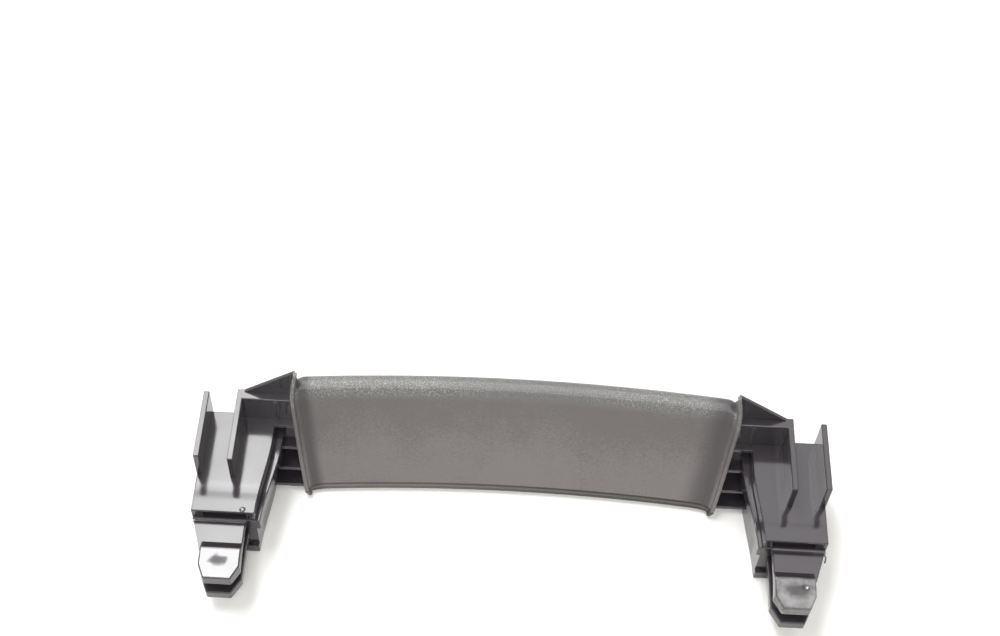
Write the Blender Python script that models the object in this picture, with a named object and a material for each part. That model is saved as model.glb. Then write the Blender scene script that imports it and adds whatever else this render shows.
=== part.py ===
"""Trunk lid handle: a grip band between two end walls, and a bracket with a snap nose beyond each wall.

The whole handle is one plastic moulding. It stands on the feet of its two towers, with the grip's face
towards -Y and its length along X, and it is mirrored about x = 0. Sizes below are in millimetres.
Heights are measured from the surface it stands on, and depths from the back edge of the bracket plates.
"""

import math

import bmesh
import bpy

MM = 0.001

# Overall
HALF_WIDTH = 100.0
OVERLAP = 0.8
CUT_EXTRA = 1.0
WELD = 0.012
FLAT_ANGLE = 0.1
ROUND_ANGLE = 35.0
SMOOTH_ANGLE = 30.0

# Tower: the box under each bracket plate
PLATE_HEIGHT = 26.0
PLATE_DEPTH = 36.6
PLATE_THICKNESS = 2.0
PLATE_WIDTH_BACK = 22.5
PLATE_WIDTH_FRONT = 20.0
PLATE_TAPER_START = 8.0
PLATE_RIM = 4.2
SHAFT_STEP = 0.4
TOWER_WALL = 1.9
FLANGE_DROP = 4.9
FLANGE_THICKNESS = 5.2
FLANGE_STEP_FRONT = 1.3
FLANGE_STEP_BACK = 2.8
FRONT_RECESS = 1.2
FOOT_HEIGHT = 4.0
SLOT_ROOF = 0.7
SLOT_MARGIN = 0.3
SILL_HEIGHT = 0.6
SILL_REACH = 1.1
EDGE_ROUND = 0.35

# Fins on the plate
FIN_HEIGHT = 11.4
FIN_THICKNESS = 1.9
OUTER_FIN_LENGTH = 23.6
OUTER_FIN_BACK = 0.5
INNER_FIN_LENGTH = 24.2
FIN_CHANNEL = 8.8
FIN_ROUND = 0.3

# Cross wall at the back of the bracket, with the triangular gusset standing on it
WALL_FRONT = 1.7
WALL_BACK = 1.9
WEB_THICKNESS = 2.0
WEB_BOTTOM = 2.0
GUSSET_THICKNESS = 1.1
GUSSET_RISE = 12.6
GUSSET_START = 2.3
CORNER_RIB_WIDTH = 1.1
CORNER_RIB_DEPTH = 0.8

# Shelf ribs between the tower and the end wall
RIB_COUNT = 4
RIB_THICKNESS = 1.6
RIB_FRONT_TOP = 4.1
RIB_FRONT_SLOPE = 0.39
RIB_ROUND = 0.25

# End wall: its free front edge bends at one height, and its lower corner turns in and back.
# What stands above the bracket plate is set by its rise over the plate, so that it moves with it.
END_WALL_THICKNESS = 1.3
END_WALL_RISE = 25.0
END_WALL_TOP = PLATE_HEIGHT + END_WALL_RISE
END_WALL_TOP_FLAT = 1.5
END_WALL_BOTTOM = 0.9
END_WALL_TURN = 3.2
END_WALL_TURN_IN = 0.5
END_WALL_TURN_BACK = 1.6
BEND_RISE = 3.5
BEND_HEIGHT = PLATE_HEIGHT + BEND_RISE
BEND_DEPTH = 6.15
UPPER_SLOPE = 0.23
LOWER_SLOPE = 0.385
BEND_SOFTNESS = 3.0
WALL_GAP = 5.6
WIDEST_RISE = 14.0
WIDEST_HEIGHT = PLATE_HEIGHT + WIDEST_RISE
UPPER_LEAN = 1.5
LOWER_LEAN = 4.42
LOWER_LEAN_POWER = 1.33
END_WALL_TURN_POWER = 1.6
END_WALL_ROUND = 0.3
END_WALL_MARGIN = 0.6
STATION_EASE = 0.35
BACK_SLOPE = 0.47

# Grip band
BAND_RECESS_TOP = 4.35
BAND_RECESS_BOTTOM = 2.6
BAND_THICKNESS = 2.4
BAND_ARCH = 3.7
BAND_BOTTOM = 0.8
ROLL_RADIUS = 3.3
ROLL_RISE = 11.5
ROLL_HEIGHT = PLATE_HEIGHT + ROLL_RISE
ROLL_RETURN = 5.0
ROLL_INNER_RADIUS = 0.9
ROLL_END_DROP = 1.5
BEAD_RADIUS = 1.1
GROOVE_DEPTH = 0.45
BEAD_START_ANGLE = 250.0
BEAD_END_ANGLE = 135.0
GROOVE_WIDTH = 0.9
FILLET_WIDTH_TOP = 2.8
FILLET_WIDTH_BOTTOM = 6.0
FILLET_SINK = 0.25
FILLET_STOP = 0.5
FILLET_FADE = 2.0
BAND_END_SHARE = 0.3

# Snap nose: an upper leaf with the catch, an open gap and a lower leaf of the same outline
NOSE_INSET = 4.1
NOSE_WIDTH = 12.9
NOSE_LENGTH = 20.4
NOSE_PARALLEL = 16.2
TIP_INSET_OUTER = 1.9
TIP_INSET_INNER = 2.4
NECK_DROP = 4.6
NECK_LENGTH = 8.2
CATCH_RAMP = 2.6
CATCH_RISE = 1.5
TIP_DROP = 1.9
LEAF_ROOT_THICKNESS = 2.6
LEAF_TIP_THICKNESS = 4.3
LEAF_GAP = 4.0
LOWER_LEAF_THICKNESS = 3.8
LOWER_LEAF_REACH = 0.9
NOSE_ROUND = 0.45
BRACE_INSET = 0.2
BRACE_TOE = 0.5
BRACE_THICKNESS = 1.8

# How finely curves are faceted
ARCH_STEPS = 20
FILLET_STEPS = 6
SILL_STEPS = 4
PIP_STEPS = 12
FACE_STEPS = 9
BEAD_STEPS = 4
ROLL_STEPS = 11
WALL_STEPS = 14
EDGE_STEPS = 10
LEAN_STEPS = 3

# Low round pip near the left plate's front edge, which the moulding gate left
PIP_INSET = 16.1
PIP_FRONT = 1.2
PIP_RADIUS = 1.0
PIP_HEIGHT = 0.35

PLASTIC_COLOUR = (0.012, 0.012, 0.013, 1.0)
PLASTIC_ROUGHNESS = 0.3


def clear_scene():
    for old in list(bpy.data.objects):
        bpy.data.objects.remove(old, do_unlink=True)


def ease(t):
    """Runs from 0 to 1 with level ends."""
    t = min(max(t, 0.0), 1.0)
    return t * t * (3.0 - 2.0 * t)


def mix(a, b, t):
    return a + (b - a) * t


def new_object(name, points, faces):
    """A closed mesh object from points in millimetres, with its faces turned outward."""
    mesh = bpy.data.meshes.new(name)
    mesh.from_pydata([(x * MM, y * MM, z * MM) for x, y, z in points], [], faces)
    shape = bmesh.new()
    shape.from_mesh(mesh)
    bmesh.ops.recalc_face_normals(shape, faces=shape.faces)
    shape.to_mesh(mesh)
    shape.free()
    made = bpy.data.objects.new(name, mesh)
    bpy.context.scene.collection.objects.link(made)
    return made


def loft(name, rings, strip_ends=False):
    """A solid through rings of points that correspond.

    Its ends are one face each or, for a ring that runs up one side of a shell and down the other,
    a strip of faces from side to side.
    """
    count = len(rings[0])
    points = [point for ring in rings for point in ring]
    faces = []
    for base in (0, (len(rings) - 1) * count):
        if strip_ends:
            for i in range(count // 2 - 1):
                j = count - 1 - i
                faces.append((base + i, base + i + 1, base + j - 1, base + j))
        else:
            faces.append(tuple(base + i for i in range(count)))
    for low in range(0, (len(rings) - 1) * count, count):
        for i in range(count):
            after = (i + 1) % count
            faces.append((low + i, low + after, low + count + after, low + count + i))
    return new_object(name, points, faces)


def prism(name, outline, bottom, top):
    """A plan outline of (x, y) points, extruded between two heights."""
    return loft(name, [[(x, y, z) for x, y in outline] for z in (bottom, top)])


def box(name, x0, x1, y0, y1, z0, z1):
    return prism(name, [(x0, y0), (x1, y0), (x1, y1), (x0, y1)], z0, z1)


def evaluated_copy(source, name):
    """A new object with the mesh that the source's modifiers give, in place of the source."""
    graph = bpy.context.evaluated_depsgraph_get()
    mesh = bpy.data.meshes.new_from_object(source.evaluated_get(graph))
    made = bpy.data.objects.new(name, mesh)
    bpy.context.scene.collection.objects.link(made)
    bpy.data.objects.remove(source, do_unlink=True)
    return made


def rounded(shape, width, segments=2):
    """Rounds the sharp edges of a simple solid."""
    modifier = shape.modifiers.new("Edges", "BEVEL")
    modifier.width = width * MM
    modifier.segments = segments
    modifier.limit_method = "ANGLE"
    modifier.angle_limit = math.radians(ROUND_ANGLE)
    return evaluated_copy(shape, shape.name + "_rounded")


def combine(base, others, operation):
    """Joins all the others to the base, or cuts them from it, in one step."""
    group = bpy.data.collections.new("Operands")
    for other in others:
        group.objects.link(other)
    modifier = base.modifiers.new("Combine", "BOOLEAN")
    modifier.operation = operation
    modifier.solver = "EXACT"
    modifier.operand_type = "COLLECTION"
    modifier.collection = group
    made = evaluated_copy(base, base.name)
    for other in others:
        bpy.data.objects.remove(other, do_unlink=True)
    bpy.data.collections.remove(group)
    return made


def mirrored(source, name):
    """The same solid on the other side of x = 0."""
    mesh = source.data.copy()
    for vertex in mesh.vertices:
        vertex.co.x = -vertex.co.x
    mesh.flip_normals()
    made = bpy.data.objects.new(name, mesh)
    bpy.context.scene.collection.objects.link(made)
    return made


def plate_inner_edge(depth):
    """Half width of the plate's inner edge, which curves outward towards the front."""
    run = (depth - PLATE_TAPER_START) / (PLATE_DEPTH - PLATE_TAPER_START)
    return HALF_WIDTH - mix(PLATE_WIDTH_BACK, PLATE_WIDTH_FRONT, ease(run))


def shaft_inner_edge(depth):
    """Half width of the shaft's inner side, just under the plate's edge."""
    return plate_inner_edge(depth) + SHAFT_STEP


def flange_inner_edge(depth):
    """Half width of the lower flange, which stands further in than the plate."""
    return plate_inner_edge(depth) - mix(FLANGE_STEP_BACK, FLANGE_STEP_FRONT, depth / PLATE_DEPTH)


def plan_outline(inner_edge, front, inset=0.0):
    """The tower's plan, drawn in by the inset: curved inner edge, straight front, outer side and back."""
    curve = []
    for step in range(EDGE_STEPS + 1):
        depth = mix(inset, front - inset, step / EDGE_STEPS)
        curve.append((inner_edge(depth) + inset, -depth))
    return curve + [(HALF_WIDTH - inset, inset - front), (HALF_WIDTH - inset, -inset)]


def tower():
    """The box that carries the plate: rim, flange and foot round its shaft, open underneath."""
    plate_plan = plan_outline(plate_inner_edge, PLATE_DEPTH)
    rim = prism("plate", plate_plan, PLATE_HEIGHT - PLATE_RIM, PLATE_HEIGHT)
    flange_top = PLATE_HEIGHT - FLANGE_DROP
    flange_bottom = flange_top - FLANGE_THICKNESS
    flange = prism("flange", plan_outline(flange_inner_edge, PLATE_DEPTH), flange_bottom, flange_top)
    shaft_depth = PLATE_DEPTH - FRONT_RECESS
    shaft = prism("shaft", plan_outline(shaft_inner_edge, shaft_depth), 0.0, PLATE_HEIGHT - PLATE_THICKNESS)
    foot = prism("foot", plan_outline(shaft_inner_edge, PLATE_DEPTH), 0.0, FOOT_HEIGHT)
    body = combine(
        rounded(rim, EDGE_ROUND),
        [rounded(flange, EDGE_ROUND), shaft, rounded(foot, EDGE_ROUND)],
        "UNION",
    )
    hollow = plan_outline(shaft_inner_edge, shaft_depth, TOWER_WALL)
    cavity = prism("cavity", hollow, -CUT_EXTRA, PLATE_HEIGHT - PLATE_THICKNESS)
    nose_inner, nose_outer = nose_span(0.0)
    slot = box(
        "slot",
        nose_inner - SLOT_MARGIN,
        nose_outer + SLOT_MARGIN,
        -PLATE_DEPTH - CUT_EXTRA,
        TOWER_WALL - shaft_depth + CUT_EXTRA,
        PLATE_HEIGHT - NECK_DROP + SILL_HEIGHT,
        PLATE_HEIGHT - SLOT_ROOF,
    )
    return combine(body, [cavity, slot], "DIFFERENCE")


def outer_fin():
    """The upright fin along the plate's outer edge, which reaches a little past the plate's back."""
    inner = HALF_WIDTH - FIN_THICKNESS
    base = PLATE_HEIGHT - OVERLAP
    top = PLATE_HEIGHT + FIN_HEIGHT
    shape = box("outer_fin", inner, HALF_WIDTH, -OUTER_FIN_LENGTH, OUTER_FIN_BACK, base, top)
    return rounded(shape, FIN_ROUND)


def corner_turn(height):
    """The lower corner's turn at a height: from 1 at the end wall's bottom to 0 where the turn starts."""
    return max(0.0, 1.0 - (height - END_WALL_BOTTOM) / END_WALL_TURN) ** END_WALL_TURN_POWER


def end_wall_half(height):
    """Half width of the end wall's outer face: widest at one height, leaning in above and below."""
    widest = plate_inner_edge(0.0) - WALL_GAP
    if height > WIDEST_HEIGHT:
        run = (height - WIDEST_HEIGHT) / (END_WALL_TOP - WIDEST_HEIGHT)
        return widest - UPPER_LEAN * run * run
    run = (WIDEST_HEIGHT - height) / (WIDEST_HEIGHT - END_WALL_BOTTOM)
    return widest - LOWER_LEAN * run**LOWER_LEAN_POWER - END_WALL_TURN_IN * corner_turn(height)


def free_edge(height):
    """Depth of the end wall's front edge at a height: two straight runs with a soft bend between."""
    rise = height - BEND_HEIGHT
    middle = 0.5 * (UPPER_SLOPE + LOWER_SLOPE) * rise
    bend = 0.5 * (LOWER_SLOPE - UPPER_SLOPE) * (math.hypot(rise, BEND_SOFTNESS) - BEND_SOFTNESS)
    return -BEND_DEPTH + middle - bend


def band_face(height):
    """Depth of the grip's front face at the end walls, set back from their free edge."""
    run = (height - BAND_BOTTOM) / (ROLL_HEIGHT - BAND_BOTTOM)
    return free_edge(height) + mix(BAND_RECESS_BOTTOM, BAND_RECESS_TOP, run)


def roll_centre():
    """(y, z) of the axis of the rolled top edge, tangent to the face."""
    lean = math.atan(UPPER_SLOPE)
    touch = ROLL_HEIGHT + ROLL_RADIUS * math.sin(lean)
    return band_face(touch) + ROLL_RADIUS * math.cos(lean), ROLL_HEIGHT


def end_wall():
    """The upright wall at the end of the grip, lofted upward from its pointed lower corner."""
    centre_y, centre_z = roll_centre()
    rings = []
    for step in range(WALL_STEPS + 1):
        run = step / WALL_STEPS
        height = mix(END_WALL_BOTTOM, END_WALL_TOP, mix(run, ease(run), STATION_EASE))
        outer = end_wall_half(height)
        inner = outer - END_WALL_THICKNESS
        front = free_edge(height) + END_WALL_TURN_BACK * corner_turn(height)
        if height > centre_z:
            top_back = free_edge(END_WALL_TOP) + END_WALL_TOP_FLAT
            back = top_back + BACK_SLOPE * (END_WALL_TOP - height)
        else:
            back = band_face(height) + BAND_THICKNESS + 2.0 * ROLL_INNER_RADIUS + BAND_THICKNESS
            back = mix(band_face(height) + BAND_THICKNESS + END_WALL_MARGIN, back, ease(height / centre_z))
            foot = (height - END_WALL_BOTTOM) / (WEB_BOTTOM + RIB_THICKNESS - END_WALL_BOTTOM)
            back = max(back, mix(back, WEB_THICKNESS - WALL_FRONT, min(foot, 1.0)))
        back = max(back, front + END_WALL_TOP_FLAT)
        plan = [(inner, front), (outer, front), (outer, back), (inner, back)]
        rings.append([(x, y, height) for x, y in plan])
    return rounded(loft("end_wall", rings), END_WALL_ROUND)


def wall_joint(height):
    """Half width at the middle of the end wall's thickness, where what meets the wall ends inside it."""
    return end_wall_half(height) - 0.5 * END_WALL_THICKNESS


def beside_wall(name, outer, front, back, bottom, top):
    """A block whose inner side leans with the end wall, between two depths and two heights."""
    rings = []
    for step in range(LEAN_STEPS + 1):
        z = mix(bottom, top, step / LEAN_STEPS)
        inner = wall_joint(z)
        rings.append([(inner, front, z), (outer, front, z), (outer, back, z), (inner, back, z)])
    return loft(name, rings)


def inner_fin_sides():
    """Half widths of the inner fin's two faces, a channel's width in from the outer fin."""
    outer = HALF_WIDTH - FIN_THICKNESS - FIN_CHANNEL
    return outer - FIN_THICKNESS, outer


def corner_wall():
    """The cross wall and the inner fin as one L in plan, leaning with the end wall where they meet."""
    inner, outer = inner_fin_sides()
    rings = []
    for step in range(LEAN_STEPS + 1):
        z = mix(PLATE_HEIGHT - OVERLAP, PLATE_HEIGHT + FIN_HEIGHT, step / LEAN_STEPS)
        plan = [
            (wall_joint(z), -WALL_FRONT),
            (inner, -WALL_FRONT),
            (inner, -INNER_FIN_LENGTH),
            (outer, -INNER_FIN_LENGTH),
            (outer, WALL_BACK),
            (wall_joint(z), WALL_BACK),
        ]
        rings.append([(x, y, z) for x, y in plan])
    return rounded(loft("corner_wall", rings), FIN_ROUND)


def cross_wall():
    """The corner wall, with the web under it, the gusset standing on it and an upright corner rib."""
    top = PLATE_HEIGHT + FIN_HEIGHT
    web_end = shaft_inner_edge(0.0) + OVERLAP
    web_top = PLATE_HEIGHT - RIB_THICKNESS
    web = beside_wall("web", web_end, -WALL_FRONT, WEB_THICKNESS - WALL_FRONT, WEB_BOTTOM, web_top)
    gusset_front = WALL_BACK - GUSSET_THICKNESS
    peak = top + GUSSET_RISE
    start = inner_fin_sides()[1] - GUSSET_START
    sunk = top - OVERLAP
    outline = [(wall_joint(top), sunk), (start, sunk), (start, top), (wall_joint(peak), peak)]
    gusset = loft("gusset", [[(x, y, z) for x, z in outline] for y in (gusset_front, WALL_BACK)])
    rib_x = plate_inner_edge(0.0)
    rib_front = -WALL_FRONT - CORNER_RIB_DEPTH
    rib_top = top - 2.0 * FIN_ROUND
    rib = box("corner_rib", rib_x - CORNER_RIB_WIDTH, rib_x, rib_front, 0.0, PLATE_HEIGHT - OVERLAP, rib_top)
    return [corner_wall(), web, gusset, rib]


def shelf_ribs():
    """Level ribs at an even pitch between the tower and the end wall, each reaching further forward."""
    made = []
    for index in range(RIB_COUNT):
        top = mix(PLATE_HEIGHT, WEB_BOTTOM, index / (RIB_COUNT - 1))
        if index == RIB_COUNT - 1:
            top += RIB_THICKNESS
        front = RIB_FRONT_TOP + RIB_FRONT_SLOPE * (PLATE_HEIGHT - top)
        back = -WALL_FRONT + OVERLAP
        end = shaft_inner_edge(front) + OVERLAP
        rib = beside_wall("rib", end, -front, back, top - RIB_THICKNESS, top)
        made.append(rounded(rib, RIB_ROUND, 1))
    return made


def nose_span(reach):
    """Inner and outer half width of the snap nose at a distance in front of the tower."""
    taper = max(0.0, (reach - NOSE_PARALLEL) / (NOSE_LENGTH - NOSE_PARALLEL))
    outer = HALF_WIDTH - NOSE_INSET
    return outer - NOSE_WIDTH + TIP_INSET_INNER * taper, outer - TIP_INSET_OUTER * taper


def leaf(name, profile):
    """A leaf of the snap nose from (reach, underside, top) rows, running forward from inside the tower."""
    rings = []
    for reach, bottom, top in profile:
        inner, outer = nose_span(reach)
        y = -PLATE_DEPTH - reach
        rings.append([(inner, y, bottom), (outer, y, bottom), (outer, y, top), (inner, y, top)])
    return rounded(loft(name, rings), NOSE_ROUND)


def snap_nose():
    """Two leaves with an open gap, and the three-cornered brace beside the upper leaf's root."""
    neck = PLATE_HEIGHT - NECK_DROP
    crest = neck + CATCH_RISE
    crest_reach = NECK_LENGTH + CATCH_RAMP
    tip = crest - TIP_DROP
    root = -FRONT_RECESS - 0.5 * TOWER_WALL
    upper = leaf(
        "upper_leaf",
        [
            (root, neck - LEAF_ROOT_THICKNESS, neck),
            (NECK_LENGTH, neck - LEAF_ROOT_THICKNESS, neck),
            (crest_reach, neck - LEAF_ROOT_THICKNESS, crest),
            (NOSE_PARALLEL, tip - LEAF_TIP_THICKNESS, mix(crest, tip, 0.5)),
            (NOSE_LENGTH, tip - LEAF_TIP_THICKNESS, tip),
        ],
    )
    low_top = tip - LEAF_TIP_THICKNESS - LEAF_GAP
    low_bottom = low_top - LOWER_LEAF_THICKNESS
    lower = leaf(
        "lower_leaf",
        [
            (root, low_bottom, low_top),
            (NOSE_PARALLEL, low_bottom, low_top),
            (NOSE_LENGTH + LOWER_LEAF_REACH, low_bottom, low_top),
        ],
    )
    edge = nose_span(0.0)[1]
    outline = [
        (edge - OVERLAP, -PLATE_DEPTH + FRONT_RECESS),
        (HALF_WIDTH - BRACE_INSET, -PLATE_DEPTH + FRONT_RECESS),
        (HALF_WIDTH - BRACE_INSET, -PLATE_DEPTH),
        (edge + BRACE_TOE, -PLATE_DEPTH - crest_reach),
        (edge - OVERLAP, -PLATE_DEPTH - crest_reach),
    ]
    brace = prism("brace", outline, neck - BRACE_THICKNESS, neck)
    return [upper, lower, brace, sill(neck)]


def sill(neck):
    """The slot's lower edge: a hollow fillet that rises from the neck and the brace to the tower's front."""
    section = [(-FRONT_RECESS - 0.5 * TOWER_WALL, neck - OVERLAP), (SILL_REACH, neck - OVERLAP)]
    for step in range(SILL_STEPS + 1):
        angle = 0.5 * math.pi * step / SILL_STEPS
        section.append((SILL_REACH * (1.0 - math.sin(angle)), neck + SILL_HEIGHT * (1.0 - math.cos(angle))))
    section.append((-FRONT_RECESS - 0.5 * TOWER_WALL, neck + SILL_HEIGHT))
    rings = []
    for x in (nose_span(0.0)[0], HALF_WIDTH - BRACE_INSET):
        rings.append([(x, -PLATE_DEPTH - reach, z) for reach, z in section])
    return loft("sill", rings)


def bracket():
    """Everything outboard of the grip on the +X side, as one solid."""
    pieces = [outer_fin(), end_wall()] + cross_wall() + shelf_ribs() + snap_nose()
    return combine(tower(), pieces, "UNION")


def band_section():
    """The grip's section at the end walls: matching (y, z) points on its outer and inner side.

    Both sides run from the lip upward and over the roll. Each outer point has its share of the end
    fillet, which fades out over the roll.
    """
    outer = []
    inner = []
    bead_z = BAND_BOTTOM + BEAD_RADIUS
    bead_y = band_face(bead_z) + BEAD_RADIUS
    for step in range(BEAD_STEPS + 1):
        angle = math.radians(mix(BEAD_START_ANGLE, BEAD_END_ANGLE, step / BEAD_STEPS))
        z = bead_z + BEAD_RADIUS * math.sin(angle)
        outer.append((bead_y + BEAD_RADIUS * math.cos(angle), z, 1.0))
        inner.append((band_face(z) + BAND_THICKNESS, z))
    groove = BAND_BOTTOM + 2.0 * BEAD_RADIUS
    outer.append((band_face(groove) + GROOVE_DEPTH, groove, 1.0))
    inner.append((band_face(groove) + BAND_THICKNESS, groove))
    centre_y, centre_z = roll_centre()
    lean = math.atan(UPPER_SLOPE)
    face_end = centre_z + ROLL_RADIUS * math.sin(lean)
    for step in range(FACE_STEPS):
        z = mix(groove + GROOVE_WIDTH, face_end, step / FACE_STEPS)
        outer.append((band_face(z), z, 1.0))
        inner.append((band_face(z) + BAND_THICKNESS, z))
    for step in range(ROLL_STEPS + 1):
        angle = mix(math.pi - lean, 0.0, step / ROLL_STEPS)
        share = 1.0 - ease(step / ROLL_STEPS * FILLET_FADE)
        across = math.cos(angle)
        up = math.sin(angle)
        outer.append((centre_y + ROLL_RADIUS * across, centre_z + ROLL_RADIUS * up, share))
        inner.append((centre_y + ROLL_INNER_RADIUS * across, centre_z + ROLL_INNER_RADIUS * up))
    outer.append((centre_y + ROLL_RADIUS, centre_z - ROLL_RETURN, 0.0))
    inner.append((centre_y + ROLL_INNER_RADIUS, centre_z - ROLL_RETURN))
    return outer + [(y, z, 0.0) for y, z in reversed(inner)]


def grip_band():
    """The arched grip, whose front flares forward into each end wall along a fillet."""
    section = band_section()

    def ring(share, near):
        made = []
        for y, z, flare in section:
            inner = end_wall_half(z) - END_WALL_THICKNESS
            rise = (z - BAND_BOTTOM) / (ROLL_HEIGHT - BAND_BOTTOM)
            width = mix(FILLET_WIDTH_BOTTOM, FILLET_WIDTH_TOP, ease(rise))
            half = share * (inner - width) + near * (width + FILLET_SINK)
            recess = mix(BAND_RECESS_BOTTOM, BAND_RECESS_TOP, z / ROLL_HEIGHT) - FILLET_STOP
            recess -= END_WALL_TURN_BACK * corner_turn(z)
            forward = recess * (1.0 - math.sqrt(max(0.0, 1.0 - near * near)))
            arch = BAND_ARCH * (1.0 - (half / end_wall_half(WIDEST_HEIGHT)) ** 2)
            over_roll = 1.0 - flare if z > ROLL_HEIGHT - ROLL_RADIUS else 0.0
            drop = ROLL_END_DROP * over_roll * near * near
            made.append((half, y + arch - flare * forward, z - drop))
        return made

    right = []
    for step in range(ARCH_STEPS // 2 + 1):
        right.append(ring(step / (ARCH_STEPS // 2), 0.0))
    for step in range(1, FILLET_STEPS + 1):
        right.append(ring(1.0, math.sin(0.5 * math.pi * step / FILLET_STEPS)))
    last = [(x + BAND_END_SHARE * END_WALL_THICKNESS, y, z) for x, y, z in right[-1]]
    right.append(last)
    left = [[(-x, y, z) for x, y, z in made] for made in reversed(right[1:])]
    return loft("grip_band", left + right, strip_ends=True)


def pip():
    """A shallow dome on the left plate."""
    middle_x = PIP_INSET - HALF_WIDTH
    middle_y = PIP_FRONT - PLATE_DEPTH
    rings = []
    for share in (1.0, 0.8, 0.45):
        z = PLATE_HEIGHT + PIP_HEIGHT * math.sqrt(1.0 - share * share)
        ring = []
        for step in range(PIP_STEPS):
            angle = 2.0 * math.pi * step / PIP_STEPS
            radius = PIP_RADIUS * share
            ring.append((middle_x + radius * math.cos(angle), middle_y + radius * math.sin(angle), z))
        rings.append(ring)
    base = [(x, y, PLATE_HEIGHT - PIP_HEIGHT) for x, y, z in rings[0]]
    return loft("pip", [base] + rings)


def cleaned(shape):
    """Merges the points that a union leaves a few microns apart and joins faces that lie in one plane."""
    made = bmesh.new()
    made.from_mesh(shape.data)
    bmesh.ops.remove_doubles(made, verts=made.verts, dist=WELD * MM)
    bmesh.ops.dissolve_degenerate(made, edges=made.edges, dist=WELD * MM)
    bmesh.ops.dissolve_limit(made, angle_limit=math.radians(FLAT_ANGLE), verts=made.verts, edges=made.edges)
    bmesh.ops.triangulate(made, faces=made.faces)
    bmesh.ops.recalc_face_normals(made, faces=made.faces)
    made.to_mesh(shape.data)
    made.free()


def plastic():
    material = bpy.data.materials.new("black_plastic")
    material.use_nodes = True
    shader = material.node_tree.nodes["Principled BSDF"]
    shader.inputs["Base Color"].default_value = PLASTIC_COLOUR
    shader.inputs["Roughness"].default_value = PLASTIC_ROUGHNESS
    shader.inputs["Metallic"].default_value = 0.0
    return material


def handle():
    right = bracket()
    left = mirrored(right, "left_bracket")
    whole = combine(grip_band(), [right, left, pip()], "UNION")
    whole.name = "handle_moulding"
    cleaned(whole)
    depths = [vertex.co.y for vertex in whole.data.vertices]
    middle = 0.5 * (min(depths) + max(depths))
    for vertex in whole.data.vertices:
        vertex.co.y -= middle
    whole.data.shade_smooth()
    whole.data.set_sharp_from_angle(angle=math.radians(SMOOTH_ANGLE))
    whole.data.materials.clear()
    whole.data.materials.append(plastic())


clear_scene()
handle()
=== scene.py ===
"""Trunk lid handle on a white table: materials, fine surface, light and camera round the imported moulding."""

import math

import bpy
from mathutils import Matrix, Vector


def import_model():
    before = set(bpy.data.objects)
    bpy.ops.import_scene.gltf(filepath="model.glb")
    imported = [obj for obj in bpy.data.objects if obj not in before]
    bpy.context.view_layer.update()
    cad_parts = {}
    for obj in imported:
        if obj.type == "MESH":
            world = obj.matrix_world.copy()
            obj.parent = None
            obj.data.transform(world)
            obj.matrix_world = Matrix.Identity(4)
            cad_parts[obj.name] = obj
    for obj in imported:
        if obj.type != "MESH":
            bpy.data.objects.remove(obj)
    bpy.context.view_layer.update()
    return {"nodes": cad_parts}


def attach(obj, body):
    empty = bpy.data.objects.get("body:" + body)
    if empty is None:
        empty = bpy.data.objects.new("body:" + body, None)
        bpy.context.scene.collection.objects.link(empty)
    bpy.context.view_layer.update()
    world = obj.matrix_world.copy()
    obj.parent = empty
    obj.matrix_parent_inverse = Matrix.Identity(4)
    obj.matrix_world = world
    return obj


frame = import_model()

MM = 0.001
BODY = "root"

# Camera, as the photograph was taken: lens and sensor in millimetres, position in millimetres, angles in radians,
# and the nearest and furthest distance in metres
FOCAL_LENGTH = 57.75
SENSOR_WIDTH = 36.0
CAMERA_POSITION = (-9.33, -249.8, 473.0)
CAMERA_PITCH = 0.95437
CAMERA_YAW = -0.0091986
CAMERA_ROLL = 0.0614083
CLIP = (0.01, 20.0)

# Lamps: name, centre and size in metres, and radiance
KEY = ("key", (-0.39, 0.5, 1.5), (0.36, 1.5), 9.8)
FILLS = (
    ("fill_back", (0.44, 0.675, 1.5), (0.5, 0.85), 1.25),
    ("fill_front", (0.44, -0.05, 1.5), (0.5, 0.6), 2.9),
)
FILL_COLOUR = (1.0, 0.955, 0.975)
TILTED = (
    ("rim", (-1.15, 1.1, 1.0), (0.9, 0.6), 5.0),
    ("front", (0.0, -0.75, 1.05), (0.5, 0.5), 8.4),
)
TILTED_AIM = (0.0, 0.0, 0.03)

# A ramp is given by where it starts and ends, and by its value at both ends where that isn't 0 and 1. A noise is
# given by its scale, detail and roughness.

# Strength of the key along its length, at its back end and across it, by metres
KEY_ALONG = (0.36, 0.66, 1.75, 1.06)
KEY_END = (0.88, 1.05, 1.0, 0.6)
KEY_ACROSS = (-0.43, -0.35, 0.72, 1.0)

# Table, whose glow rises with the distance in metres, and the world
TABLE_HALF = 3.0
TABLE_DROP = 0.0002
TABLE_COLOUR = (0.93, 0.928, 0.92, 1.0)
TABLE_GLOW = (0.3, 1.1, 0.08, 1.0)
WORLD_STRENGTH = (0.0, 1.0, 0.3, 1.0)
WORLD_COLOUR = (1.0, 0.96, 0.82, 1.0)
WHITE = (1.0, 1.0, 1.0, 1.0)

# From here on, lengths are in millimetres and noise scales per millimetre.

# The part's own measures, which place the fine surface on it
PLATE_FRONT = -12.98
PLATE_INNER_EDGE = 78.0
END_WALL_HALF = 71.9
END_WALL_BOTTOM = 0.9
WIDEST_HEIGHT = 40.0
LOWER_LEAN = 4.42
LOWER_LEAN_POWER = 1.33
UPPER_LEAN = 1.5
UPPER_RUN = 11.0
LEAF_GAP_HEIGHT = 15.0

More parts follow.
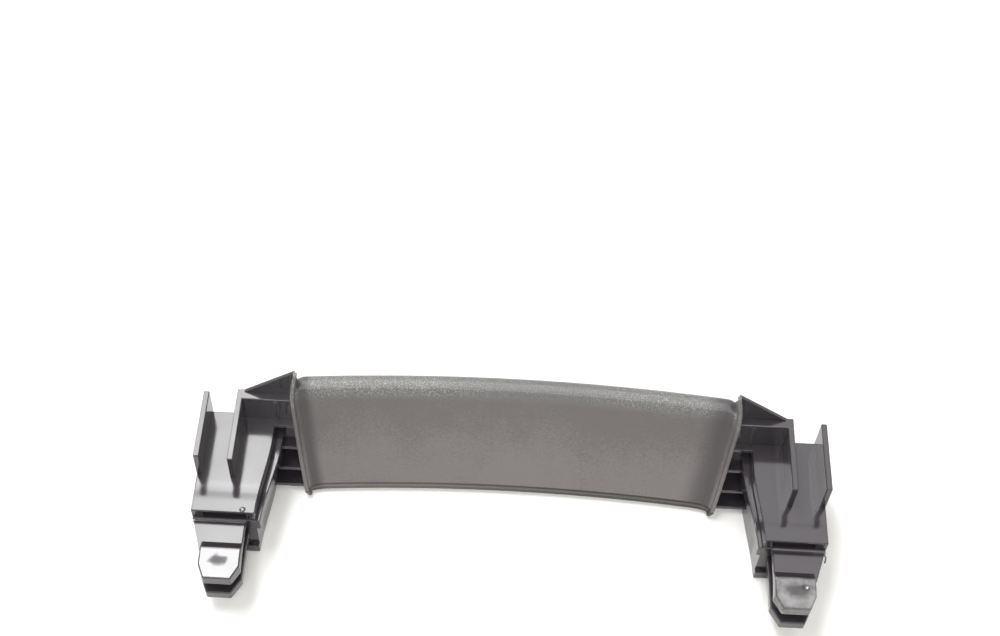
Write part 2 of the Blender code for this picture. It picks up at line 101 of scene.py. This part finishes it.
# Polished black plastic of the brackets, with slow waves and a sink mark across each plate
GLOSS_COLOUR = (0.035, 0.030, 0.036, 1.0)
GLOSS_ROUGHNESS = 0.12
REFRACTION = 1.62
HAZE_NOISE = (0.09, 3.0, 0.6)
HAZE = (0.35, 0.75, 0.0, 0.035)
WAVE_NOISE = (0.11, 1.0, 0.4)
WAVE_HEIGHT = 0.012
SINK_MIDDLE = PLATE_FRONT + 8.0
SINK_WIDTH = 2.6
SINK_HEIGHT = -0.2
SINK_SIDE = (PLATE_INNER_EDGE - 1.0, PLATE_INNER_EDGE + 2.0)

# Matt ragged mark and shallow dimple on each snap nose, by distance to the side and to the back
UPPER_LEAF = (LEAF_GAP_HEIGHT - 1.0, LEAF_GAP_HEIGHT + 1.0)
MARK_CENTRE = (89.8, -27.6)
MARK_RADII = (2.9, 1.7)
MARK_EDGE = (-0.1, 1.5, 1.0, 0.0)
MARK_ROUGHNESS = 0.42
RAGGED_NOISE = (0.55, 2.0, 0.5)
RAGGED_SIZE = 2.2
DIMPLE_CENTRE = (89.4, -27.8)
DIMPLE_RADII = (3.2, 2.1)
DIMPLE_HEIGHT = -0.04

# Milky scuffed film and one small pit on the right snap nose
FILM_COLOUR = (0.30, 0.31, 0.297, 1.0)
FILM_NOISE = (0.2, 2.0, 0.45)
FILM = (0.32, 0.7, 0.0, 0.62)
FILM_SIDE = (78.0, 82.0)
FILM_BACK = (-24.2, -23.0, 1.0, 0.0)
FILM_HOLE = (0.2, 3.4)
FILM_HOLE_RAGGED = 1.5
PIT_CENTRE = (92.3, -26.6)
PIT_RADII = (0.85, 0.85)
PIT_HEIGHT = -0.28

# Grained plastic of the grip
GRAIN_EDGE = (0.0, 0.16)
GRIP_COLOUR = (0.148, 0.135, 0.135)
GRIP_DARKEST = 0.82
GRIP_LIGHTEST = 1.16
GRIP_ROUGHNESS = 0.55
FINE_NOISE = (1.5, 2.0, 0.6)
FINE_SHARE = 0.6
FINE_HEIGHT = 0.05
MOTTLE_NOISE = (0.06, 3.0, 0.55)
MOTTLE_SHARE = 0.4
# Painted shade: the grip's colour darkens towards the top and lightens towards the bottom, by height
PAINTED_SHADE_BY_HEIGHT = (8.0, 33.0, 0.11, -0.11)
TONE = (0.36, 0.64)

# Coarser grain of the roll, with painted highlights on its grain tops in patches along it
ROLL = (35.0, 38.5)
ROLL_COLOUR = (0.120, 0.118, 0.117, 1.0)
ROLL_ROUGHNESS = 0.4
COARSE_NOISE = (2.5, 1.0, 0.5)
COARSE_HEIGHT = 0.13
PAINTED_GLINT_COLOUR = (0.29, 0.295, 0.287, 1.0)
GLINT_TOPS = (0.48, 0.66)
LEFT_GLINT_PATCH = (-35.0, 5.0, 1.0, 0.3)
RIGHT_GLINT_PATCH = (15.0, 45.0, 0.3, 0.8)

# Painted shade: a darker fillet beside each end wall, which reaches further on the right, and a dark groove along
# the lower lip
FILLET_SHADE_COLOUR = (0.040, 0.034, 0.037, 1.0)
FILLET_SHADE_SHARE = 0.9
FILLET_START = (1.2, 2.6)
FILLET_FADE = 3.5
FILLET_REACH = (-50.0, 50.0, 7.0, 13.0)
GROOVE_SHADE_COLOUR = (0.022, 0.020, 0.015, 1.0)
GROOVE_SHADE_SHARE = (-60.0, 50.0, 0.55, 0.92)
GROOVE_BOTTOM = (1.0, 1.5)
GROOVE_TOP = (3.8, 4.3, 1.0, 0.0)

# Shading of the moulding's faces
SHARP_ANGLE = 50.0
FACE_WEIGHT = 100

# Curl of flash at the right catch: its middle line, half thickness and number of sides
CURL_PATH = (
    (98.9, -14.4, 21.4),
    (99.5, -14.7, 21.4),
    (99.72, -15.3, 21.4),
    (99.6, -16.2, 21.3),
    (99.3, -17.2, 21.2),
)
CURL_HALF = 0.25
CURL_SIDES = 6


class Nodes:
    """A short way to write a shader's node tree."""

    def __init__(self, data):
        data.use_nodes = True
        self.tree = data.node_tree
        self.tree.nodes.clear()

    def add(self, kind, **values):
        node = self.tree.nodes.new(kind)
        for key, value in values.items():
            setattr(node, key, value)
        return node

    def feed(self, value, socket):
        """Sets a socket to a number or colour, or links it to another node's output."""
        if isinstance(value, bpy.types.NodeSocket):
            self.tree.links.new(value, socket)
        else:
            socket.default_value = value

    def math(self, operation, *values):
        node = self.add("ShaderNodeMath", operation=operation)
        for value, socket in zip(values, node.inputs):
            self.feed(value, socket)
        return node.outputs[0]

    def plus(self, first, *others):
        for other in others:
            first = self.math("ADD", first, other)
        return first

    def minus(self, value, less):
        return self.math("SUBTRACT", value, less)

    def times(self, first, *others):
        for other in others:
            first = self.math("MULTIPLY", first, other)
        return first

    def over(self, value, by):
        return self.math("DIVIDE", value, by)

    def power(self, value, exponent):
        """A power of the value, taken as 0 where the value is negative."""
        return self.math("POWER", self.math("MAXIMUM", value, 0.0), exponent)

    def ramp(self, value, low, high, to_low=0.0, to_high=1.0):
        """A smooth change from one number to another as the value goes from low to high."""
        node = self.add("ShaderNodeMapRange", interpolation_type="SMOOTHSTEP", clamp=True)
        for number, socket in zip((value, low, high, to_low, to_high), node.inputs):
            self.feed(number, socket)
        return node.outputs[0]

    def noise(self, vector, scale, detail, roughness):
        node = self.add("ShaderNodeTexNoise")
        self.feed(vector, node.inputs["Vector"])
        self.feed(scale, node.inputs["Scale"])
        self.feed(detail, node.inputs["Detail"])
        self.feed(roughness, node.inputs["Roughness"])
        return node.outputs["Fac"]

    def blend(self, share, a, b):
        """One colour to the other by a share."""
        node = self.add("ShaderNodeMix", data_type="RGBA")
        self.feed(share, node.inputs[0])
        self.feed(a, node.inputs[6])
        self.feed(b, node.inputs[7])
        return node.outputs[2]

    def blend_numbers(self, share, a, b):
        node = self.add("ShaderNodeMix", data_type="FLOAT")
        self.feed(share, node.inputs[0])
        self.feed(a, node.inputs[2])
        self.feed(b, node.inputs[3])
        return node.outputs[0]

    def split(self, vector):
        """The three parts of a vector."""
        node = self.add("ShaderNodeSeparateXYZ")
        self.feed(vector, node.inputs[0])
        return tuple(node.outputs)

    def position(self):
        return self.add("ShaderNodeNewGeometry").outputs["Position"]

    def seen(self):
        """1 on the rays of the eye, of reflections and of glass, and 0 on those that only light the object."""
        path = self.add("ShaderNodeLightPath")
        seen = self.math("MAXIMUM", path.outputs["Is Camera Ray"], path.outputs["Is Glossy Ray"])
        return self.math("MAXIMUM", seen, path.outputs["Is Transmission Ray"])

    def apart(self, x, y, centre, radii):
        """The squared distance from a spot's centre, where 1 is the spot's outline."""
        aside = self.over(self.minus(x, centre[0]), radii[0])
        along = self.over(self.minus(y, centre[1]), radii[1])
        return self.plus(self.times(aside, aside), self.times(along, along))

    def bell(self, squared):
        """1 at a squared distance of 0, with a soft fall to 0 away from it."""
        return self.math("EXPONENT", self.times(squared, -1.0))


def link(made):
    bpy.context.scene.collection.objects.link(made)


def camera():
    pitch_cos, pitch_sin = math.cos(CAMERA_PITCH), math.sin(CAMERA_PITCH)
    turn = Matrix.Rotation(CAMERA_YAW, 3, "Z")
    right = turn @ Vector((1.0, 0.0, 0.0))
    ahead = turn @ Vector((0.0, pitch_cos, -pitch_sin))
    up = turn @ Vector((0.0, pitch_sin, pitch_cos))
    roll_cos, roll_sin = math.cos(CAMERA_ROLL), math.sin(CAMERA_ROLL)
    right, up = roll_cos * right + roll_sin * up, roll_cos * up - roll_sin * right
    place = Matrix((right, up, -ahead)).transposed().to_4x4()
    place.translation = Vector(CAMERA_POSITION) * MM
    data = bpy.data.cameras.new("camera")
    data.sensor_width = SENSOR_WIDTH
    data.lens = FOCAL_LENGTH
    data.clip_start, data.clip_end = CLIP
    made = bpy.data.objects.new("camera", data)
    made.matrix_world = place
    link(made)
    bpy.context.scene.camera = made


def world():
    """A dim warm light from all round, which is white where the eye or a reflection meets it."""
    made = bpy.data.worlds.new("studio")
    bpy.context.scene.world = made
    nodes = Nodes(made)
    out = nodes.add("ShaderNodeOutputWorld")
    back = nodes.add("ShaderNodeBackground")
    seen = nodes.seen()
    nodes.feed(nodes.ramp(seen, *WORLD_STRENGTH), back.inputs["Strength"])
    nodes.feed(nodes.blend(seen, WORLD_COLOUR, WHITE), back.inputs["Color"])
    nodes.feed(back.outputs[0], out.inputs["Surface"])


def panel(name, centre, size, radiance, target=None):
    """A rectangular lamp of one radiance that faces down, or towards a target. It gives its data for shaping."""
    data = bpy.data.lights.new(name, "AREA")
    data.shape = "RECTANGLE"
    data.size, data.size_y = size
    data.energy = radiance * math.pi * size[0] * size[1]
    made = bpy.data.objects.new(name, data)
    made.location = centre
    if target:
        ahead = Vector(target) - Vector(centre)
        made.rotation_mode = "QUATERNION"
        made.rotation_quaternion = ahead.to_track_quat("-Z", "Y")
    link(made)
    return data


def shape_key(data):
    """The key is brighter at its front and dimmer at its back and left."""
    nodes = Nodes(data)
    out = nodes.add("ShaderNodeOutputLight")
    glow = nodes.add("ShaderNodeEmission")
    x, y, _ = nodes.split(nodes.position())
    strength = nodes.times(nodes.ramp(y, *KEY_ALONG), nodes.ramp(y, *KEY_END), nodes.ramp(x, *KEY_ACROSS))
    nodes.feed(strength, glow.inputs["Strength"])
    nodes.feed(glow.outputs[0], out.inputs["Surface"])


def lights():
    shape_key(panel(*KEY))
    for lamp in FILLS:
        panel(*lamp).color = FILL_COLOUR
    for lamp in TILTED:
        panel(*lamp, TILTED_AIM)


def floor():
    """A table that keeps the handle's shadow. Far off it glows white where the eye or a reflection meets it."""
    material = bpy.data.materials.new("table")
    nodes = Nodes(material)
    out = nodes.add("ShaderNodeOutputMaterial")
    diffuse = nodes.add("ShaderNodeBsdfDiffuse")
    diffuse.inputs["Color"].default_value = TABLE_COLOUR
    glow = nodes.add("ShaderNodeEmission")
    away = nodes.add("ShaderNodeVectorMath", operation="LENGTH")
    nodes.feed(nodes.position(), away.inputs[0])
    nodes.feed(nodes.times(nodes.seen(), nodes.ramp(away.outputs["Value"], *TABLE_GLOW)), glow.inputs["Strength"])
    both = nodes.add("ShaderNodeAddShader")
    nodes.feed(diffuse.outputs[0], both.inputs[0])
    nodes.feed(glow.outputs[0], both.inputs[1])
    nodes.feed(both.outputs[0], out.inputs["Surface"])
    corners = [(x * TABLE_HALF, y * TABLE_HALF, 0) for x, y in ((-1, -1), (1, -1), (1, 1), (-1, 1))]
    mesh = bpy.data.meshes.new("table")
    mesh.from_pydata(corners, [], [(0, 1, 2, 3)])
    mesh.materials.append(material)
    made = bpy.data.objects.new("table", mesh)
    made.location.z = -TABLE_DROP
    link(made)


def end_wall_half(nodes, height):
    """Half width over the end walls' outer faces at a height."""
    below = nodes.over(nodes.minus(WIDEST_HEIGHT, height), WIDEST_HEIGHT - END_WALL_BOTTOM)
    lean = nodes.times(nodes.power(below, LOWER_LEAN_POWER), LOWER_LEAN)
    above = nodes.over(nodes.minus(height, WIDEST_HEIGHT), UPPER_RUN)
    rise = nodes.times(nodes.power(above, 2.0), UPPER_LEAN)
    return nodes.minus(nodes.minus(END_WALL_HALF, lean), rise)


def grip_colour(nodes, x, z, inside, rolled, mottle, fine, coarse):
    """Slow mottle and fine speckle, painted shade darker towards the top of the grip, painted highlights on the
    roll's grain tops, and painted shade in the fillets and groove.
    """
    dark = tuple(GRIP_DARKEST * value for value in GRIP_COLOUR) + (1.0,)
    light = tuple(GRIP_LIGHTEST * value for value in GRIP_COLOUR) + (1.0,)
    tone_and_painted_shade = nodes.plus(nodes.times(mottle, MOTTLE_SHARE), nodes.times(fine, FINE_SHARE))
    # Painted shade: darker towards the top of the grip, lighter towards the bottom
    tone_and_painted_shade = nodes.plus(tone_and_painted_shade, nodes.ramp(z, *PAINTED_SHADE_BY_HEIGHT))
    colour = nodes.blend(nodes.ramp(tone_and_painted_shade, *TONE), dark, light)
    colour = nodes.blend(rolled, colour, ROLL_COLOUR)
    # Painted highlights: light grain tops on the roll, in patches on the left and right
    patches = nodes.math("MAXIMUM", nodes.ramp(x, *LEFT_GLINT_PATCH), nodes.ramp(x, *RIGHT_GLINT_PATCH))
    colour = nodes.blend(nodes.times(nodes.ramp(coarse, *GLINT_TOPS), rolled, patches), colour, PAINTED_GLINT_COLOUR)
    # Painted shade in the fillet beside each end wall
    reach = nodes.ramp(x, *FILLET_REACH)
    beside = nodes.times(nodes.ramp(inside, *FILLET_START), nodes.ramp(inside, FILLET_FADE, reach, 1.0, 0.0))
    colour = nodes.blend(nodes.times(beside, FILLET_SHADE_SHARE), colour, FILLET_SHADE_COLOUR)
    # Painted shade in the groove along the lower lip, stronger on the right
    groove = nodes.times(nodes.ramp(z, *GROOVE_BOTTOM), nodes.ramp(z, *GROOVE_TOP))
    return nodes.blend(nodes.times(groove, nodes.ramp(x, *GROOVE_SHADE_SHARE)), colour, GROOVE_SHADE_COLOUR)


def film_share(nodes, place, x, y, upper, apart, ragged):
    """The milky film on the right nose's upper leaf, which leaves the mark's middle clear."""
    on_nose = nodes.times(nodes.ramp(x, *FILM_SIDE), nodes.ramp(y, *FILM_BACK))
    film = nodes.ramp(nodes.noise(place, *FILM_NOISE), *FILM)
    clear = nodes.ramp(nodes.plus(apart, nodes.times(ragged, FILM_HOLE_RAGGED)), *FILM_HOLE)
    return nodes.times(nodes.times(film, on_nose), nodes.times(clear, upper))


def surface_height(nodes, place, x, y, side, grained, rolled, fine, coarse):
    """Grain on the grip. Slow waves, sink marks, dimples and a pit on the polished rest."""
    coarse_height = nodes.times(coarse, rolled, COARSE_HEIGHT)
    grain = nodes.times(nodes.plus(nodes.times(fine, FINE_HEIGHT), coarse_height), grained)
    wave = nodes.times(nodes.noise(place, *WAVE_NOISE), WAVE_HEIGHT)
    from_sink = nodes.over(nodes.minus(y, SINK_MIDDLE), SINK_WIDTH)
    sink = nodes.times(nodes.bell(nodes.times(from_sink, from_sink)), nodes.ramp(side, *SINK_SIDE), SINK_HEIGHT)
    dimple = nodes.times(nodes.bell(nodes.apart(side, y, DIMPLE_CENTRE, DIMPLE_RADII)), DIMPLE_HEIGHT)
    pit = nodes.times(nodes.bell(nodes.apart(x, y, PIT_CENTRE, PIT_RADII)), PIT_HEIGHT)
    smooth = nodes.plus(nodes.plus(wave, sink), nodes.plus(dimple, pit))
    return nodes.plus(grain, nodes.times(smooth, nodes.minus(1.0, grained)))


def plastic():
    """One black plastic: polished on the brackets, grained on the grip between the end walls."""
    material = bpy.data.materials.new("black_plastic")
    nodes = Nodes(material)
    out = nodes.add("ShaderNodeOutputMaterial")
    shader = nodes.add("ShaderNodeBsdfPrincipled")
    place = nodes.add("ShaderNodeVectorMath", operation="SCALE")
    nodes.feed(nodes.add("ShaderNodeTexCoord").outputs["Object"], place.inputs[0])
    nodes.feed(1.0 / MM, place.inputs["Scale"])
    place = place.outputs[0]
    x, y, z = nodes.split(place)

    side = nodes.math("ABSOLUTE", x)
    inside = nodes.minus(end_wall_half(nodes, z), side)
    grained = nodes.ramp(inside, *GRAIN_EDGE)
    rolled = nodes.times(nodes.ramp(z, *ROLL), grained)
    fine, coarse, mottle = (nodes.noise(place, *pattern) for pattern in (FINE_NOISE, COARSE_NOISE, MOTTLE_NOISE))

    apart = nodes.apart(side, y, MARK_CENTRE, MARK_RADII)
    ragged = nodes.times(nodes.minus(nodes.noise(place, *RAGGED_NOISE), 0.5), RAGGED_SIZE)
    upper = nodes.ramp(z, *UPPER_LEAF)
    mark = nodes.times(nodes.ramp(nodes.plus(apart, ragged), *MARK_EDGE), upper)

    grip = grip_colour(nodes, x, z, inside, rolled, mottle, fine, coarse)
    polished = nodes.blend(film_share(nodes, place, x, y, upper, apart, ragged), GLOSS_COLOUR, FILM_COLOUR)
    nodes.feed(nodes.blend(grained, polished, grip), shader.inputs["Base Color"])

    haze = nodes.ramp(nodes.noise(place, *HAZE_NOISE), *HAZE)
    gloss = nodes.plus(haze, GLOSS_ROUGHNESS, nodes.times(mark, MARK_ROUGHNESS))
    matt = nodes.ramp(rolled, 0.0, 1.0, GRIP_ROUGHNESS, ROLL_ROUGHNESS)
    nodes.feed(nodes.blend_numbers(grained, gloss, matt), shader.inputs["Roughness"])
    nodes.feed(REFRACTION, shader.inputs["IOR"])

    bump = nodes.add("ShaderNodeBump")
    nodes.feed(1.0, bump.inputs["Strength"])
    nodes.feed(MM, bump.inputs["Distance"])
    height = surface_height(nodes, place, x, y, side, grained, rolled, fine, coarse)
    nodes.feed(height, bump.inputs["Height"])
    nodes.feed(bump.outputs[0], shader.inputs["Normal"])
    nodes.feed(shader.outputs[0], out.inputs["Surface"])
    return material


def moulding(material):
    node = frame["nodes"]["handle_moulding"]
    node.data.materials.clear()
    node.data.materials.append(material)
    node.data.shade_smooth()
    node.data.set_sharp_from_angle(angle=math.radians(SHARP_ANGLE))
    weighted = node.modifiers.new("weighted", "WEIGHTED_NORMAL")
    weighted.keep_sharp = True
    weighted.weight = FACE_WEIGHT


def curl(material):
    """A thin curl of moulding flash that hangs at the right catch's outer edge."""
    points = []
    for x, y, z in CURL_PATH:
        for step in range(CURL_SIDES):
            angle = 2.0 * math.pi * step / CURL_SIDES
            points.append(
                ((x + CURL_HALF * math.cos(angle)) * MM, y * MM, (z + CURL_HALF * math.sin(angle)) * MM)
            )
    faces = [tuple(reversed(range(CURL_SIDES))), tuple(range(len(points) - CURL_SIDES, len(points)))]
    for row in range(len(CURL_PATH) - 1):
        for step in range(CURL_SIDES):
            a, b = row * CURL_SIDES + step, row * CURL_SIDES + (step + 1) % CURL_SIDES
            faces.append((a, b, b + CURL_SIDES, a + CURL_SIDES))
    mesh = bpy.data.meshes.new("flash_curl")
    mesh.from_pydata(points, [], faces)
    mesh.shade_smooth()
    made = bpy.data.objects.new("flash_curl", mesh)
    link(made)
    mesh.materials.append(material)
    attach(made, BODY)


bpy.context.scene.view_settings.view_transform = "Standard"
camera()
world()
lights()
floor()
black_plastic = plastic()
moulding(black_plastic)
curl(black_plastic)
